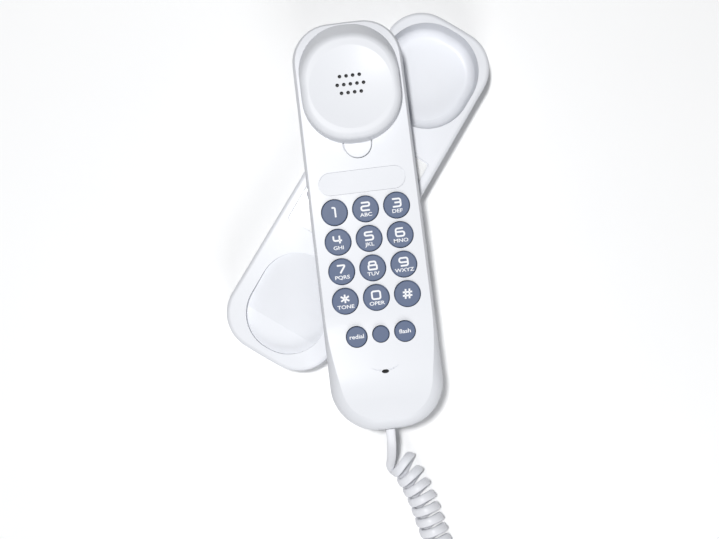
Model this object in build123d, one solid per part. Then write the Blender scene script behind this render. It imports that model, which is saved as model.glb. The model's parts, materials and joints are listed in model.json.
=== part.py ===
from build123d import *
import os
from math import pi, radians, tan

# A slimline wall phone in millimetres. The base stands with its back on z = 0, its face toward +Z and
# its earpiece cup toward +Y. The origin is midway between the two wall-plate keyholes, on the back.
# The handset lies face up across the base, level and turned, and its own parts are drawn in its own
# frame: back on z = 0, keypad face toward +Z, earpiece toward +Y.

# ---------------------------------------------------------------------- clearances and fasteners
RUN_GAP = 0.3  # between pieces that move past each other
FIT_GAP = 0.1  # around a piece that drops into a seat
SCREW_GAP = 0.05  # between a screw and its hole
SCREW_HEAD_SUNK = 0.2  # head below the face it is driven into
SCREW_TIP_ROOM = 1.0  # left in a hole past the screw's tip

# ---------------------------------------------------------------------- base
BASE_LENGTH = 204.3
BASE_TOP_WIDTH = 59.2
BASE_FOOT_WIDTH = 62.4
BASE_CORNER = 20.8
BASE_CROWN = 1.5  # how far each end bows outward
BASE_HEIGHT = 26.0  # back to rim
BASE_WALL = 2.4
BASE_EDGE = 2.0  # rounding of the rim
COVER_THICK = 2.5

CUP_WIDTH = 52.4
CUP_LENGTH = 55.4
CUP_CORNER = 24.0
CUP_CENTRE_Y = 71.2
CUP_DEPTH = 14.0
CUP_DRAFT = 1.6  # each wall leans in by this much at the floor
CUP_FLOOR_ROUND = 5.0

SCOOP_WIDTH = 44.0
SCOOP_TOP_Y = -42.1
SCOOP_END_Y = -97.1
SCOOP_CORNER = 21.0
SCOOP_DEPTH = 4.8
SCOOP_FLAT = 14.0  # length of level floor before the end wall

PANEL_WIDTH = 50.8
PANEL_LENGTH = 63.7
PANEL_CENTRE_Y = -0.4
PANEL_CORNER = 2.0
CARD_THICK = 0.4
CARD_MARGIN = 0.6
WINDOW_THICK = 1.0
WINDOW_GAP = 0.25
WINDOW_EDGE = 0.25
WINDOW_LIFT = 0.1  # air between the card and the window

STUD_SPACING = 101.6  # between the wall plate's studs
KEYHOLE_RADIUS = 4.75
KEYHOLE_SLOT = 2.4  # half the slot's width
KEYHOLE_RUN = 9.0  # from the entry hole's centre to the slot's end

BASE_SCREW_X = 23.0
BASE_SCREW_Y = 36.5
BASE_POST_RADIUS = 3.6
BASE_SCREW_RADIUS = 1.5
BASE_SCREW_HEAD = 2.8
BASE_SCREW_HEAD_THICK = 1.4
BASE_SCREW_LENGTH = 10.0  # below the head
SCREW_SLOT_WIDTH = 0.8
SCREW_SLOT_DEPTH = 0.7

FOOT_RADIUS = 5.0
FOOT_PROUD = 1.0
FOOT_RECESS = 0.8
FOOT_X = 21.0
FOOT_END_GAP = 18.2  # from the base's end to the middle of a foot

BALLAST_LENGTH = 80.0
BALLAST_THICK = 6.0
BALLAST_CORNER = 4.0
BALLAST_EDGE = 0.6
BALLAST_GAP = 0.5  # beside the screw posts

JACK_WIDTH = 11.2
JACK_DEPTH = 13.0
JACK_HEIGHT = 9.4
SOCKET_WIDTH = 7.9
SOCKET_HEIGHT = 6.8
SOCKET_DEPTH = 10.6
BASE_JACK_X = 9.0
CONTACT_PITCH = 1.02
CONTACT_SIZE = 0.35
LEAD_RADIUS = 0.5
LEAD_BULGE = 3.0
LEAD_BEND = 4.0
LEAD_SPREAD = 2.4
JUMPER_PITCH = 2.2
JUMPER_REACH = 8.0  # of the middle lead behind the jacks
JUMPER_BEND = 3.0

# ---------------------------------------------------------------------- handset
HANDSET_LENGTH = 212.0
HANDSET_TOP_WIDTH = 57.0
HANDSET_FOOT_WIDTH = 58.9
HANDSET_TOP_CORNER = 20.0
HANDSET_FOOT_CORNER = 24.0
HANDSET_CROWN = 1.0
HANDSET_WALL = 2.2
FACE_HEIGHT = 23.0  # back to keypad face
SPLIT_HEIGHT = 11.0  # back to the seam between the shells
BACK_ROUND = 4.0
SHOULDER_ROLL = 9.0  # rounding of the sides up to the mouth end's crest

MOUTH_RISE = 3.5  # crest above the keypad face
RAMP_START_Y = -45.0
RAMP_END_Y = -88.0
CREST_TRIM = 0.4  # flat crest cut from the top of the shoulder roll
MOUTH_HOLE_WIDTH = 3.7
MOUTH_HOLE_HEIGHT = 2.0
MOUTH_HOLE_Y = -75.6
GROOVE_HALF_WIDTH = 7.25
GROOVE_SAG = 2.7
GROOVE_THICK = 1.0
GROOVE_DEPTH = 0.5

DOME_RISE = 11.0
DOME_TOP_WIDTH = 50.4
DOME_TOP_LENGTH = 52.6
DOME_TOP_CORNER = 23.0
DOME_TOP_Y = 70.4
DOME_FOOT_WIDTH = 51.8
DOME_FOOT_LENGTH = 63.2
DOME_FOOT_CORNER = 24.5
DOME_FOOT_Y = 73.85
DOME_ROUND = 3.5
DISH_RADIUS = 21.2
DISH_DEPTH = 1.0
SOUND_HOLE_RADIUS = 0.95
SOUND_HOLE_PITCH = 3.36
SOUND_ROW_PITCH = 4.27
SOUND_ROWS = (4, 5, 4)
SOUND_CENTRE_Y = 71.8

NAME_PLATE_LENGTH = 45.0
NAME_PLATE_HEIGHT = 12.0
NAME_PLATE_Y = 23.0
NAME_PLATE_THICK = 0.8
NAME_PLATE_GAP = 0.25

KEY_RADIUS = 6.6
KEY_PITCH_X = 16.1
KEY_PITCH_Y = 15.3
FIRST_ROW_Y = 8.4
KEY_PROUD = 1.3
KEY_TRAVEL = 1.4
KEY_GAP = 0.4  # round each key
KEY_FLANGE = 0.7
KEY_FLANGE_THICK = 1.2
KEY_EDGE = 0.5
DIAL_LABELS = ("1", "2", "3", "4", "5", "6", "7", "8", "9", "star", "0", "hash")
SIDE_KEY_RADIUS = 5.25
SIDE_KEY_X = 12.5
MUTE_KEY_RADIUS = 4.15
FUNCTION_ROW_Y = -56.4

HOOK_RADIUS = 7.7
HOOK_Y = 42.3  # where its half disc begins, at the dome's foot
HOOK_TUCK = 2.0  # how far it runs on under the dome's wall
HOOK_TRAVEL = 2.2
HOOK_GAP = 0.5  # round the button
HOOK_EDGE = 0.35
HOOK_SWITCH_DROP = 3.4  # its middle below the half disc's centre
HOOK_SWITCH_WIDTH = 8.0
HOOK_SWITCH_LENGTH = 6.0
HOOK_PLUNGER_RADIUS = 1.4

NUB_RADIUS = 3.0
NUB_TOP_RADIUS = 2.1
NUB_HEIGHT = 1.6
MAT_THICK = 1.2
MAT_WIDTH = 46.0
MAT_TOP_Y = 18.0
MAT_FOOT_Y = -61.0
BOARD_THICK = 1.6
BOARD_WIDTH = 49.0
BOARD_TOP_Y = 50.0
BOARD_FOOT_Y = -68.0
BOARD_CORNER = 2.0
LEAD_LANDING = 4.0  # from the board's end to where leads are soldered
SOLDER_HEIGHT = 1.0  # of a lead's middle under the board
# Two chips and a relay on the board's back: middle x and y, width, length and height.
BOARD_CHIPS = ((0.0, -29.0, 18.0, 10.0, 2.2), (0.0, -5.5, 12.0, 5.0, 2.0), (15.0, -46.0, 10.0, 12.0, 5.5))
CAPACITORS = 4
CAPACITOR_X = -18.0
CAPACITOR_Y = -50.0  # of the lowest one
CAPACITOR_PITCH = 9.0
CAPACITOR_HEIGHT = 6.5
CAPACITOR_RADIUS = 3.0
BOARD_SCREW_X = 21.2
BOARD_SCREW_YS = (30.0, -64.5)
BOARD_BOSS_RADIUS = 2.6
BOARD_SCREW_RADIUS = 1.1
BOARD_SCREW_LENGTH = 5.0  # past the board
BOARD_SCREW_HEAD = 2.2
BOARD_SCREW_HEAD_THICK = 1.2

RECEIVER_RADIUS = 15.0
RECEIVER_HEIGHT = 8.5
MAGNET_HEIGHT = 1.6
RECEIVER_LEAD_X = 7.0
CAPSULE_EDGE = 1.0
GASKET_THICK = 1.0
GASKET_BORE = 10.5
HOLDER_WALL = 1.4
MIC_RADIUS = 4.85
MIC_HEIGHT = 4.5  # capsule and the felt on it
FELT_THICK = 0.6
BOOT_WALL = 1.3
BOOT_FLOOR = 1.2
MIC_TOP_DROP = 0.9  # boot's top below the keypad face, under the sloping ceiling
RINGER_RADIUS = 13.5
RINGER_THICK = 3.0
RINGER_Y = 20.0
RINGER_EDGE = 0.6
RINGER_LEAD_RUN = 18.0
RINGER_SLOTS = 5
RINGER_SLOT_PITCH = 3.2
RINGER_SLOT_LENGTH = 14.0
RINGER_SLOT_WIDTH = 1.5

HANDSET_SCREWS = ((19.0, 92.0), (-19.0, 92.0), (20.0, -84.0), (-20.0, -84.0))
HANDSET_POST_RADIUS = 3.4
HANDSET_SCREW_RADIUS = 1.2
HANDSET_SCREW_HEAD = 2.3
HANDSET_SCREW_HEAD_THICK = 1.6
HANDSET_SCREW_SEAT = 5.0
HANDSET_SCREW_LENGTH = 12.0

SWITCH_Y = 20.0
SWITCH_LENGTH = 11.0
SWITCH_DEPTH = 5.0
SWITCH_HEIGHT = 5.0
SWITCH_Z = 3.4
KNOB_LENGTH = 3.6
KNOB_HEIGHT = 2.6
KNOB_PROUD = 0.7
KNOB_TRAVEL = 2.2  # each way from the middle

HANDSET_JACK_X = -1.0
HANDSET_JACK_HEIGHT = 9.0
HANDSET_JACK_Z = 11.2  # height of the socket's middle
PLUG_WIDTH = 7.7
PLUG_HEIGHT = 6.6
PLUG_LENGTH = 11.6
PLUG_PROUD = 0.6

# ---------------------------------------------------------------------- handset on the base
HANDSET_TURN = 37.4  # degrees, anticlockwise seen from the front
HANDSET_X = 13.4
HANDSET_Y = -14.2
HANDSET_REST_GAP = RUN_GAP
HANDSET_LOCATION = Location((HANDSET_X, HANDSET_Y, BASE_HEIGHT + HANDSET_REST_GAP), (0, 0, HANDSET_TURN))

# ---------------------------------------------------------------------- cord
CORD_DIAMETER = 4.2
CURL_DIAMETER = 15.5
# The straight tail from the handset's plug down to the first turn of the curl.
HANDSET_TAIL_POINTS = (
    (77.5, -99.7, 37.5),
    (81.4, -104.8, 36.6),
    (85.2, -110.9, 30.2),
    (87.8, -115.4, 20.8),
    (89.4, -118.7, 11.6),
    (94.2, -122.3, 6.8),
)
# The middle of the curly stretch, lying on the same surface as the feet.
CURL_POINTS = (
    (97.0, -116.6, 6.8),
    (111.1, -123.7, 6.8),
    (125.4, -136.2, 6.8),
    (141.9, -149.5, 6.8),
    (153.0, -172.0, 6.8),
    (152.3, -198.0, 6.8),
    (139.5, -220.6, 6.8),
    (117.5, -234.7, 6.8),
    (91.8, -238.0, 6.8),
    (69.0, -244.0, 6.8),
    (46.5, -240.0, 6.8),
)
# The straight tail from the last turn of the curl to the free plug.
PLUG_TAIL_POINTS = (
    (46.5, -240.0, 1.7),
    (46.0, -233.5, 1.5),
    (40.5, -227.5, 1.5),
    (32.0, -226.0, 1.5),
    (24.5, -229.5, 1.5),
    (20.5, -237.0, 1.7),
    (22.5, -245.5, 2.3),
)
BEND_SHARE = 0.45  # of the shorter run beside a bend

# ---------------------------------------------------------------------- heights that follow
HANDSET_CEILING = FACE_HEIGHT - HANDSET_WALL
KEY_FLANGE_TOP = HANDSET_CEILING - RUN_GAP
KEY_BOTTOM = KEY_FLANGE_TOP - KEY_FLANGE_THICK
NUB_TOP = KEY_BOTTOM - KEY_TRAVEL - RUN_GAP
MAT_TOP = NUB_TOP - NUB_HEIGHT
BOARD_TOP = MAT_TOP - MAT_THICK
BOARD_BOTTOM = BOARD_TOP - BOARD_THICK
DOME_TOP = FACE_HEIGHT + DOME_RISE
DOME_CEILING = DOME_TOP - DISH_DEPTH - HANDSET_WALL
RECEIVER_TOP = DOME_CEILING - GASKET_THICK
PANEL_RECESS = CARD_THICK + WINDOW_LIFT + WINDOW_THICK


# ====================================================================== shared shapes
def tapered_plate(length, top_width, foot_width, top_corner, foot_corner, crown):
    """A long outline: sides that widen toward -Y, ends that bow outward, round corners."""
    half = length / 2 - crown
    top_right = (top_width / 2, half)
    top_left = (-top_width / 2, half)
    foot_right = (foot_width / 2, -half)
    foot_left = (-foot_width / 2, -half)
    edges = [
        Line(foot_right, top_right),
        ThreePointArc(top_right, (0, length / 2), top_left),
        Line(top_left, foot_left),
        ThreePointArc(foot_left, (0, -length / 2), foot_right),
    ]
    outline = make_face(edges)
    outline = fillet(outline.vertices().group_by(Axis.Y)[-1], top_corner)
    return fillet(outline.vertices().group_by(Axis.Y)[0], foot_corner)


def block(x_range, y_range, z_range):
    """A box from its low and high x, y and z."""
    size = [high - low for low, high in (x_range, y_range, z_range)]
    middle = [(high + low) / 2 for low, high in (x_range, y_range, z_range)]
    return Pos(*middle) * Box(*size)


def rod(x, y, bottom, top, radius):
    """An upright cylinder between two heights."""
    return Pos(x, y, (bottom + top) / 2) * Cylinder(radius, top - bottom)


def tube_path(points):
    """Straight runs joined by tangent arcs, each as large as its two runs allow, and the radii."""
    stops = [Vector(*point) for point in points]
    radii = []
    for before, here, after in zip(stops, stops[1:], stops[2:]):
        turn = (here - before).get_angle(after - here)
        shorter = min((here - before).length, (after - here).length)
        radii.append(BEND_SHARE * shorter / tan(radians(turn / 2)))
    return FilletPolyline(*stops, radius=radii), radii


def tube(points, diameter, label):
    """A round tube along a route. It prints the bend radii and the volume against its length."""
    path, radii = tube_path(points)
    start = path.edges()[0]
    section = Plane(origin=start @ 0, z_dir=start % 0) * Circle(diameter / 2)
    solid = sweep(section, path=path)
    expected = pi * diameter**2 / 4 * path.length
    print(label, "length %.1f" % path.length, "volume ratio %.4f" % (solid.volume / expected))
    print(label, "bend radii", ", ".join("%.1f" % radius for radius in radii))
    return solid


# ====================================================================== base
def base_outline(inset):
    return tapered_plate(
        BASE_LENGTH - 2 * inset,
        BASE_TOP_WIDTH - 2 * inset,
        BASE_FOOT_WIDTH - 2 * inset,
        BASE_CORNER - inset,
        BASE_CORNER - inset,
        BASE_CROWN,
    )


def cup_form(grow):
    """The earpiece cup's hollow, or the same form grown by the wall around it."""
    floor = BASE_HEIGHT - CUP_DEPTH - grow
    rim = RectangleRounded(CUP_WIDTH + 2 * grow, CUP_LENGTH + 2 * grow, CUP_CORNER + grow)
    seat_width = CUP_WIDTH - 2 * CUP_DRAFT + 2 * grow
    seat_length = CUP_LENGTH - 2 * CUP_DRAFT + 2 * grow
    seat = RectangleRounded(seat_width, seat_length, CUP_CORNER - CUP_DRAFT + grow)
    form = loft([Pos(0, CUP_CENTRE_Y, floor) * seat, Pos(0, CUP_CENTRE_Y, BASE_HEIGHT) * rim])
    return fillet(form.edges().group_by(Axis.Z)[0], CUP_FLOOR_ROUND + grow)


def scoop_form(grow):
    """The mouthpiece scoop's hollow: flush at its upper side, deepest at the end wall."""
    length = SCOOP_TOP_Y - SCOOP_END_Y
    middle = (SCOOP_TOP_Y + SCOOP_END_Y) / 2
    floor = BASE_HEIGHT - SCOOP_DEPTH - grow
    outline = RectangleRounded(SCOOP_WIDTH + 2 * grow, length + 2 * grow, SCOOP_CORNER + grow)
    prism = Pos(0, middle, floor) * extrude(outline, SCOOP_DEPTH + grow + BASE_EDGE)
    level_y = SCOOP_END_Y + SCOOP_FLAT
    under = make_face(
        Polyline(
            (SCOOP_END_Y - BASE_CORNER, floor),
            (level_y, floor),
            (SCOOP_TOP_Y + grow, BASE_HEIGHT - grow),
            (SCOOP_TOP_Y + BASE_CORNER, BASE_HEIGHT - grow),
            (SCOOP_TOP_Y + BASE_CORNER, floor - BASE_WALL),
            (SCOOP_END_Y - BASE_CORNER, floor - BASE_WALL),
            close=True,
        )
    )
    return prism - extrude(Plane.YZ * under, SCOOP_WIDTH, both=True)


def base_screw_places():
    return [(x, y) for x in (-BASE_SCREW_X, BASE_SCREW_X) for y in (-BASE_SCREW_Y, BASE_SCREW_Y)]


def base_jack_places():
    """Where the front face of each jack stands, inside the end wall."""
    front = -(BASE_LENGTH / 2 - BASE_WALL - BASE_CROWN)
    return (-BASE_JACK_X, front), (BASE_JACK_X, front)


def cradle_shell():
    outer = extrude(base_outline(0), BASE_HEIGHT)
    outer = fillet(outer.edges().group_by(Axis.Z)[-1], BASE_EDGE)
    cavity = extrude(base_outline(BASE_WALL), BASE_HEIGHT - BASE_WALL - PANEL_RECESS)
    cavity -= cup_form(BASE_WALL)
    cavity -= scoop_form(BASE_WALL)
    for x, y in base_screw_places():
        cavity -= rod(x, y, 0, BASE_HEIGHT, BASE_POST_RADIUS)
    shell = outer - cavity - cup_form(0) - scoop_form(0)
    shell -= block((-BASE_LENGTH, BASE_LENGTH), (-BASE_LENGTH, BASE_LENGTH), (-1, COVER_THICK))
    recess = RectangleRounded(PANEL_WIDTH, PANEL_LENGTH, PANEL_CORNER)
    shell -= Pos(0, PANEL_CENTRE_Y, BASE_HEIGHT - PANEL_RECESS) * extrude(recess, PANEL_RECESS + 1)
    screw_top = BASE_SCREW_HEAD_THICK + BASE_SCREW_LENGTH + SCREW_TIP_ROOM
    for x, y in base_screw_places():
        shell -= rod(x, y, 0, screw_top, BASE_SCREW_RADIUS + SCREW_GAP)
    for x, front in base_jack_places():
        half = SOCKET_WIDTH / 2 + FIT_GAP
        socket_z = base_socket_range()
        shell -= block((x - half, x + half), (-BASE_LENGTH, front + 1), socket_z)
    return shell


def base_socket_range():
    """Low and high z of the sockets in the base."""
    low = COVER_THICK + (JACK_HEIGHT - SOCKET_HEIGHT) / 2
    return low, low + SOCKET_HEIGHT


def back_cover():
    cover = extrude(base_outline(0), COVER_THICK)
    cover = fillet(cover.edges().group_by(Axis.Z)[0], COVER_THICK / 4)
    for y in (-STUD_SPACING / 2, STUD_SPACING / 2):
        cover -= rod(0, y, -1, COVER_THICK + 1, KEYHOLE_RADIUS)
        cover -= rod(0, y + KEYHOLE_RUN, -1, COVER_THICK + 1, KEYHOLE_SLOT)
        cover -= block((-KEYHOLE_SLOT, KEYHOLE_SLOT), (y, y + KEYHOLE_RUN), (-1, COVER_THICK + 1))
    for x, y in base_screw_places():
        cover -= rod(x, y, -1, COVER_THICK + 1, BASE_SCREW_RADIUS + SCREW_GAP)
        cover -= rod(x, y, -1, BASE_SCREW_HEAD_THICK, BASE_SCREW_HEAD + SCREW_GAP)
    for x, y in foot_places():
        cover -= rod(x, y, -1, FOOT_RECESS, FOOT_RADIUS + SCREW_GAP)
    return cover


def foot_places():
    reach = BASE_LENGTH / 2 - FOOT_END_GAP
    return [(x, y) for x in (-FOOT_X, FOOT_X) for y in (-reach, reach)]


def feet():
    pads = []
    for x, y in foot_places():
        pad = rod(x, y, -FOOT_PROUD, FOOT_RECESS, FOOT_RADIUS)
        pads.append(fillet(pad.edges().group_by(Axis.Z)[0], FOOT_PROUD / 3))
    return pads


def base_screws():
    screws = []
    seat = BASE_SCREW_HEAD_THICK
    for x, y in base_screw_places():
        head = rod(x, y, SCREW_HEAD_SUNK, seat, BASE_SCREW_HEAD)
        slot_y = (y - SCREW_SLOT_WIDTH / 2, y + SCREW_SLOT_WIDTH / 2)
        slot = block((x - BASE_SCREW_HEAD, x + BASE_SCREW_HEAD), slot_y, (0, SCREW_SLOT_DEPTH))
        shank = rod(x, y, seat, seat + BASE_SCREW_LENGTH, BASE_SCREW_RADIUS)
        screws.append(head - slot + shank)
    return screws


def ballast_plate():
    width = 2 * (BASE_SCREW_X - BASE_POST_RADIUS - BALLAST_GAP)
    outline = RectangleRounded(width, BALLAST_LENGTH, BALLAST_CORNER)
    plate = Pos(0, 0, COVER_THICK) * extrude(outline, BALLAST_THICK)
    return fillet(plate.edges().group_by(Axis.Z)[-1], BALLAST_EDGE)


def index_card():
    width = PANEL_WIDTH - 2 * CARD_MARGIN
    length = PANEL_LENGTH - 2 * CARD_MARGIN
    card = extrude(RectangleRounded(width, length, PANEL_CORNER), CARD_THICK)
    return Pos(0, PANEL_CENTRE_Y, BASE_HEIGHT - PANEL_RECESS) * card


def card_window():
    width = PANEL_WIDTH - 2 * WINDOW_GAP
    length = PANEL_LENGTH - 2 * WINDOW_GAP
    window = extrude(RectangleRounded(width, length, PANEL_CORNER), WINDOW_THICK)
    window = fillet(window.edges().group_by(Axis.Z)[-1], WINDOW_EDGE)
    return Pos(0, PANEL_CENTRE_Y, BASE_HEIGHT - WINDOW_THICK) * window


def modular_jack(height):
    """A jack with its front face on y = 0, its socket opening toward -Y and its bottom on z = 0."""
    body = block((-JACK_WIDTH / 2, JACK_WIDTH / 2), (0, JACK_DEPTH), (0, height))
    low = (height - SOCKET_HEIGHT) / 2
    socket = block(
        (-SOCKET_WIDTH / 2, SOCKET_WIDTH / 2), (-1, SOCKET_DEPTH), (low, low + SOCKET_HEIGHT)
    )
    return body - socket


def jack_contacts(height):
    """Four spring wires across the back of a socket, in the same frame as the jack."""
    low = (height - SOCKET_HEIGHT) / 2
    wires = []
    for index in range(4):
        x = (index - 1.5) * CONTACT_PITCH
        x_range = (x - CONTACT_SIZE / 2, x + CONTACT_SIZE / 2)
        y_range = (SOCKET_DEPTH - CONTACT_SIZE, SOCKET_DEPTH)
        wires.append(block(x_range, y_range, (low, low + SOCKET_HEIGHT)))
    return wires


def base_jacks():
    return [Pos(x, front, COVER_THICK) * modular_jack(JACK_HEIGHT) for x, front in base_jack_places()]


def base_jack_contacts():
    wires = []
    for x, front in base_jack_places():
        wires += [Pos(x, front, COVER_THICK) * wire for wire in jack_contacts(JACK_HEIGHT)]
    return wires


def jumper_leads():
    """Four leads that join the backs of the two jacks, nested one inside the next."""
    (left, front), (right, _) = base_jack_places()
    back = front + JACK_DEPTH
    height = COVER_THICK + JACK_HEIGHT / 2
    leads = []
    for index in range(4):
        inner = (index - 1.5) * JUMPER_PITCH
        reach = back + JUMPER_REACH - inner
        route = (
            (left + inner, back, height),
            (left + inner, reach, height),
            (right - inner, reach, height),
            (right - inner, back, height),
        )
        path = FilletPolyline(*route, radius=JUMPER_BEND)
        section = Plane(origin=route[0], z_dir=(0, 1, 0)) * Circle(LEAD_RADIUS)
        leads.append(sweep(section, path=path))
    return leads


# ====================================================================== handset
def handset_outline(inset):
    return tapered_plate(
        HANDSET_LENGTH - 2 * inset,
        HANDSET_TOP_WIDTH - 2 * inset,
        HANDSET_FOOT_WIDTH - 2 * inset,
        HANDSET_TOP_CORNER - inset,
        HANDSET_FOOT_CORNER - inset,
        HANDSET_CROWN,
    )


def half_width(y):
    """The handset's half width at a distance along it."""
    share = 0.5 - y / HANDSET_LENGTH
    return (HANDSET_TOP_WIDTH + share * (HANDSET_FOOT_WIDTH - HANDSET_TOP_WIDTH)) / 2


def ramp_height(y):
    """The outer face's height along the middle of the mouth end."""
    share = min(max((RAMP_START_Y - y) / (RAMP_START_Y - RAMP_END_Y), 0), 1)
    return FACE_HEIGHT + MOUTH_RISE * (3 * share**2 - 2 * share**3)


def room_above_face(inset):
    """Everything above the keypad face and the ramp that rises to the mouth end's crest."""
    face = FACE_HEIGHT - inset
    crest = face + MOUTH_RISE
    third = (RAMP_START_Y - RAMP_END_Y) / 3
    end = HANDSET_LENGTH
    sky = DOME_TOP + HANDSET_WALL
    edges = [
        Line((-end, crest), (RAMP_END_Y, crest)),
        Bezier(
            (RAMP_END_Y, crest),
            (RAMP_END_Y + third, crest),
            (RAMP_START_Y - third, face),
            (RAMP_START_Y, face),
        ),
        Line((RAMP_START_Y, face), (end, face)),
        Line((end, face), (end, sky)),
        Line((end, sky), (-end, sky)),
        Line((-end, sky), (-end, crest)),
    ]
    return extrude(Plane.YZ * make_face(edges), HANDSET_FOOT_WIDTH, both=True)


def dome_foot(inset):
    return Pos(0, DOME_FOOT_Y) * RectangleRounded(
        DOME_FOOT_WIDTH - 2 * inset, DOME_FOOT_LENGTH - 2 * inset, DOME_FOOT_CORNER - inset
    )


def dome_form(inset, top):
    """The earpiece dome up to a height: a round-cornered plateau on a wider foot."""
    plateau = Pos(0, DOME_TOP_Y) * RectangleRounded(
        DOME_TOP_WIDTH - 2 * inset, DOME_TOP_LENGTH - 2 * inset, DOME_TOP_CORNER - inset
    )
    root = FACE_HEIGHT - HANDSET_WALL - inset
    form = loft([Pos(0, 0, root) * dome_foot(inset), Pos(0, 0, top) * plateau])
    return fillet(form.edges().group_by(Axis.Z)[-1], DOME_ROUND - inset)


def handset_form(inset, dome_top):
    """The handset's outer form drawn in by an inset: the cavity is the same form one wall in."""
    body = extrude(handset_outline(inset), FACE_HEIGHT + MOUTH_RISE - inset + CREST_TRIM)
    body = fillet(body.edges().group_by(Axis.Z)[-1], SHOULDER_ROLL - inset)
    return body - room_above_face(inset) + dome_form(inset, dome_top)


def dial_key_places():
    places = {}
    for index, label in enumerate(DIAL_LABELS):
        row, column = divmod(index, 3)
        places["key_" + label] = ((column - 1) * KEY_PITCH_X, FIRST_ROW_Y - row * KEY_PITCH_Y)
    return places


def key_places():
    """Every key's name, middle and radius."""
    places = {name: (x, y, KEY_RADIUS) for name, (x, y) in dial_key_places().items()}
    places["key_redial"] = (-SIDE_KEY_X, FUNCTION_ROW_Y, SIDE_KEY_RADIUS)
    places["key_mute"] = (0, FUNCTION_ROW_Y, MUTE_KEY_RADIUS)
    places["key_flash"] = (SIDE_KEY_X, FUNCTION_ROW_Y, SIDE_KEY_RADIUS)
    return places


def key_cap(x, y, radius):
    cap = rod(x, y, KEY_BOTTOM, ramp_height(y) + KEY_PROUD, radius)
    cap = fillet(cap.edges().group_by(Axis.Z)[-1], KEY_EDGE)
    return cap + rod(x, y, KEY_BOTTOM, KEY_FLANGE_TOP, radius + KEY_FLANGE)


def hook_outline(grow):
    """A half disc that runs on straight under the dome's wall, grown or drawn in."""
    radius = HOOK_RADIUS + grow
    tuck = HOOK_TUCK + grow
    upper_half = Pos(0, HOOK_Y + radius) * Rectangle(2 * radius, 2 * radius)
    straight = Pos(0, HOOK_Y + tuck / 2) * Rectangle(2 * radius, tuck)
    return Pos(0, HOOK_Y) * Circle(radius) - upper_half + straight


def hook_button():
    button = Pos(0, 0, KEY_BOTTOM) * extrude(hook_outline(-HOOK_GAP), FACE_HEIGHT - KEY_BOTTOM)
    button = chamfer(button.edges().group_by(Axis.Z)[-1], HOOK_EDGE)
    flange = Pos(0, 0, KEY_BOTTOM) * extrude(hook_outline(KEY_FLANGE), KEY_FLANGE_THICK)
    return button + flange


def sound_hole_places():
    places = []
    for row, count in enumerate(SOUND_ROWS):
        y = SOUND_CENTRE_Y + (1 - row) * SOUND_ROW_PITCH
        places += [((index - (count - 1) / 2) * SOUND_HOLE_PITCH, y) for index in range(count)]
    return places


def smile_groove():
    """The crescent groove below the mouth hole, cut a little way into the ramp."""
    floor = ramp_height(MOUTH_HOLE_Y + GROOVE_SAG) - GROOVE_DEPTH
    outer_sag = GROOVE_SAG
    inner_sag = GROOVE_SAG - GROOVE_THICK
    outer = (GROOVE_HALF_WIDTH**2 + outer_sag**2) / (2 * outer_sag)
    inner = (GROOVE_HALF_WIDTH**2 + inner_sag**2) / (2 * inner_sag)
    crescent = Pos(0, MOUTH_HOLE_Y + outer) * Circle(outer)
    crescent -= Pos(0, MOUTH_HOLE_Y + GROOVE_THICK + inner) * Circle(inner)
    return Pos(0, 0, floor) * extrude(crescent, MOUTH_RISE)


def board_screw_places():
    return [(x, y) for x in (-BOARD_SCREW_X, BOARD_SCREW_X) for y in BOARD_SCREW_YS]


def front_shell_supports():
    """Posts, bosses and rings that stand on the ceiling, trimmed inside the shell's own wall."""
    supports = rod(0, SOUND_CENTRE_Y, RECEIVER_TOP - RECEIVER_HEIGHT / 2, DOME_TOP, receiver_ring_radius())
    boot_radius = MIC_RADIUS + BOOT_WALL + FIT_GAP
    supports += rod(0, MOUTH_HOLE_Y, mic_top() - MIC_HEIGHT, DOME_TOP, boot_radius + HOLDER_WALL)
    for x, y in HANDSET_SCREWS:
        supports += rod(x, y, SPLIT_HEIGHT, DOME_TOP, HANDSET_POST_RADIUS)
    for x, y in board_screw_places():
        supports += rod(x, y, BOARD_TOP, DOME_TOP, BOARD_BOSS_RADIUS)
    supports &= handset_form(HANDSET_WALL / 2, DOME_CEILING + HANDSET_WALL / 2)
    supports -= rod(0, SOUND_CENTRE_Y, SPLIT_HEIGHT, DOME_CEILING, RECEIVER_RADIUS + FIT_GAP)
    return supports - rod(0, MOUTH_HOLE_Y, SPLIT_HEIGHT, mic_top(), boot_radius)


def receiver_ring_radius():
    return RECEIVER_RADIUS + FIT_GAP + HOLDER_WALL


def mic_top():
    return FACE_HEIGHT - MIC_TOP_DROP


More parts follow.
